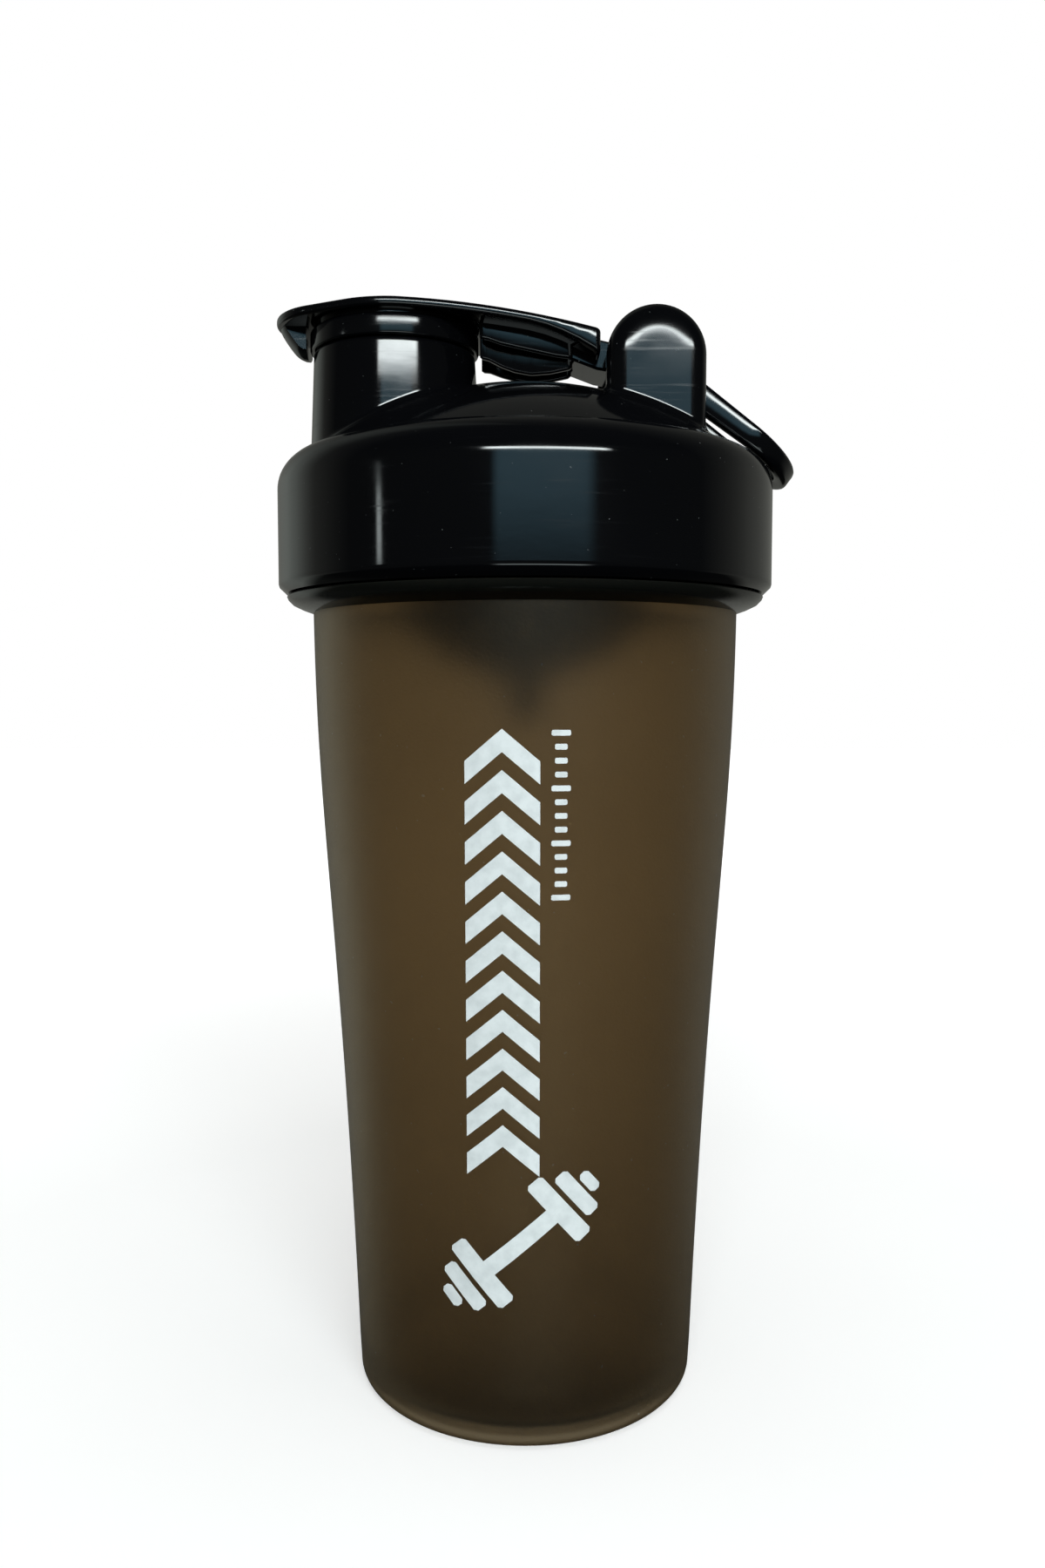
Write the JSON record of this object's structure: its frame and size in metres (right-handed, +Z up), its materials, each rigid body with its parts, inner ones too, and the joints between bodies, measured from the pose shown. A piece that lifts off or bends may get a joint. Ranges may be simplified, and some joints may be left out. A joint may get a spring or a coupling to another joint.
{
  "type": "shaker bottle",
  "caption": "Tapered frosted shaker cup with a black screw lid, drinking spout with a flip cap, folding carry loop and a conical mixing strainer inside.",
  "frame": {"origin": "centre of the base on the plane that the bottle stands on", "axes": "+Z up along the cup's axis, -X towards the spout, +X towards the cap's hinge and the carry loop, -Y towards the printed side"},
  "size_m": [0.1033, 0.098, 0.2133],
  "materials": {
    "frosted_cup": "smoky brown translucent polypropylene, frosted outside",
    "gloss_black": "polished black moulded plastic",
    "satin_black": "satin black moulded plastic",
    "seal_rubber": "matt black soft seal"
  },
  "bodies": {
    "cup": {"cup": "frosted_cup"},
    "gasket": {"lid_gasket": "seal_rubber"},
    "lid": {"lid_shell": "gloss_black", "mixing_strainer": "satin_black"},
    "cap": {"flip_cap": "gloss_black", "spout_plug": "seal_rubber"},
    "loop": {"carry_loop": "gloss_black"}
  },
  "joints": [
    {"name": "lid_lift", "type": "slide", "parent": "cup", "child": "gasket", "axis": [0, 0, 1], "range_m": [0, 0.0121]},
    {"name": "lid_turn", "type": "hinge", "parent": "gasket", "child": "lid", "pos_m": [0, 0, 0.17], "axis": [0, 0, 1], "range_deg": [0, 720]},
    {"name": "cap_flip", "type": "hinge", "parent": "lid", "child": "cap", "pos_m": [0.0247, 0, 0.2029], "axis": [0, 1, 0], "range_deg": [0, 150]},
    {"name": "loop_swing", "type": "hinge", "parent": "lid", "child": "loop", "pos_m": [0.0247, 0, 0.2029], "axis": [0, -1, 0], "range_deg": [0, 130]}
  ],
  "couplings": [
    {"joint": "lid_lift", "follows": "lid_turn", "m_per_rad": 0.00095493}
  ]
}
